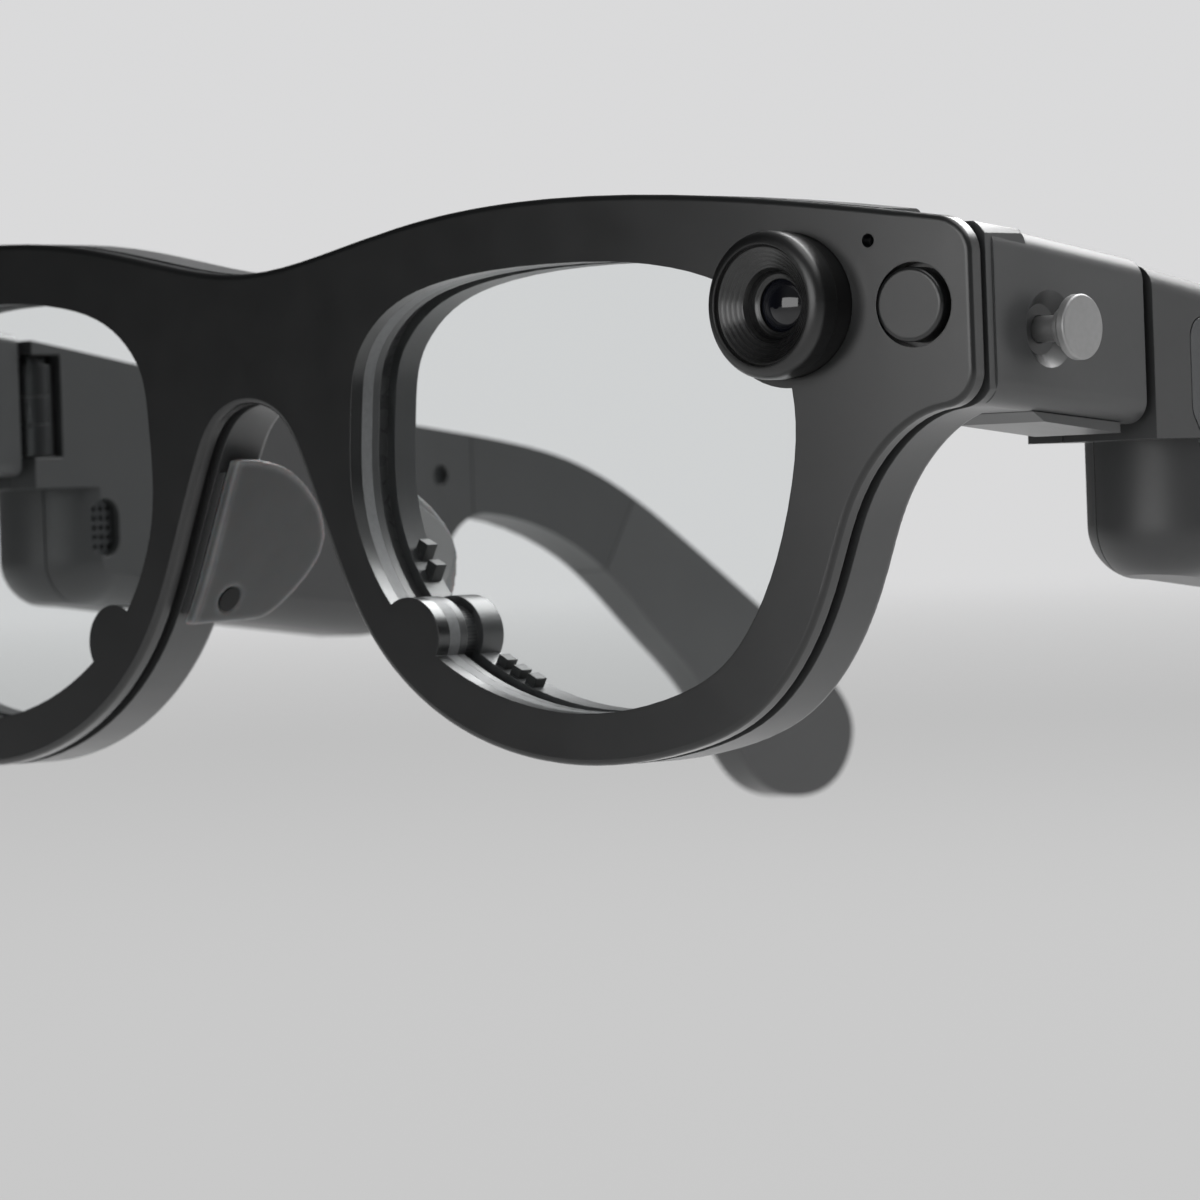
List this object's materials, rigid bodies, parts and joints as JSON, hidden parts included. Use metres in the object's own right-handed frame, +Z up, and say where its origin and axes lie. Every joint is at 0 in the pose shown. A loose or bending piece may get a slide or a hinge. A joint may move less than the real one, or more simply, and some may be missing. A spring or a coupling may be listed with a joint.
{
  "type": "smart glasses",
  "caption": "Wrap-front spectacles with clear lenses, thick folding electronics temples, a forward camera barrel and push buttons.",
  "frame": {"origin": "on the symmetry plane, under the middle of the open glasses' footprint, at the level of the lowest point of the ear hooks", "axes": "+X to the wearer's left, +Y backwards from the lenses to the ear hooks, +Z up"},
  "size_m": [0.157, 0.156, 0.0591],
  "materials": {
    "plate_matte": "fine matte",
    "shell_satin": "satin",
    "gasket_black": "matte",
    "lens_clear": "polished",
    "pad_silicone": "soft matte",
    "clip_plastic": "matte",
    "sensor_black": "polished",
    "camera_black": "fine matte",
    "bezel_black": "satin",
    "camera_glass": "polished",
    "board_dark": "solder mask",
    "microphone_can": "satin",
    "flex_amber": "satin",
    "eye_camera_black": "satin",
    "light_window": "polished",
    "button_metal": "bead blasted",
    "hinge_steel": "dark satin",
    "screw_steel": "satin",
    "temple_satin": "satin",
    "panel_gloss": "gloss",
    "tip_soft": "soft matte",
    "core_steel": "plain",
    "speaker_black": "matte",
    "grille_mesh": "dark",
    "contact_gold": "polished",
    "battery_foil": "foil"
  },
  "bodies": {
    "front": {"camera_barrel": "camera_black", "camera_bezel": "bezel_black", "camera_lens": "camera_glass", "camera_sensor_board": "board_dark", "endpiece_cover_left": "shell_satin", "endpiece_cover_right": "shell_satin", "eye_camera_left": "eye_camera_black", "eye_camera_right": "eye_camera_black", "eye_light_strip_left": "light_window", "eye_light_strip_right": "light_window", "frame_shell": "shell_satin", "front_button_switch": "board_dark", "front_flex_cable": "flex_amber", "front_microphone": "microphone_can", "front_plate": "plate_matte", "front_plate_screws": "screw_steel", "hinge_front_leaf_left": "hinge_steel", "hinge_front_leaf_right": "hinge_steel", "hinge_screw_left": "screw_steel", "hinge_screw_right": "screw_steel", "lens_left": "lens_clear", "lens_right": "lens_clear", "nose_pad_clip_left": "clip_plastic", "nose_pad_clip_right": "clip_plastic", "nose_pad_left": "pad_silicone", "nose_pad_right": "pad_silicone", "nose_sensor_window": "sensor_black", "rim_gasket": "gasket_black", "side_switch_left": "board_dark", "side_switch_right": "board_dark"},
    "temple_left": {"hinge_temple_leaf_left": "hinge_steel", "speaker_grille_left": "grille_mesh", "speaker_left": "speaker_black", "temple_core_left": "core_steel", "temple_cover_left": "temple_satin", "temple_screws_left": "screw_steel", "temple_shell_left": "temple_satin", "temple_side_panel_left": "panel_gloss", "temple_tip_left": "tip_soft", "main_board_left": "board_dark"},
    "temple_right": {"hinge_temple_leaf_right": "hinge_steel", "speaker_grille_right": "grille_mesh", "speaker_right": "speaker_black", "temple_core_right": "core_steel", "temple_cover_right": "temple_satin", "temple_screws_right": "screw_steel", "temple_shell_right": "temple_satin", "temple_side_panel_right": "panel_gloss", "temple_tip_right": "tip_soft", "battery_right": "battery_foil", "charging_contacts_right": "contact_gold"},
    "front_button": {"front_button": "plate_matte"},
    "side_button_left": {"side_button_left": "button_metal"},
    "side_button_right": {"side_button_right": "button_metal"}
  },
  "joints": [
    {"name": "temple_fold_left", "type": "hinge", "parent": "front", "child": "temple_left", "pos_m": [0.0636, -0.0442, 0.04471], "axis": [0, 0, 1], "range_deg": [0, 90]},
    {"name": "temple_fold_right", "type": "hinge", "parent": "front", "child": "temple_right", "pos_m": [-0.0636, -0.0442, 0.04471], "axis": [0, 0, -1], "range_deg": [0, 75]},
    {"name": "side_button_left_press", "type": "slide", "parent": "front", "child": "side_button_left", "axis": [-1, 0, 0], "range_m": [0, 0.0008]},
    {"name": "side_button_right_press", "type": "slide", "parent": "front", "child": "side_button_right", "axis": [1, 0, 0], "range_m": [0, 0.0008]},
    {"name": "front_button_press", "type": "slide", "parent": "front", "child": "front_button", "axis": [-0.1825, 0.9832, 0], "range_m": [0, 0.0005]}
  ]
}
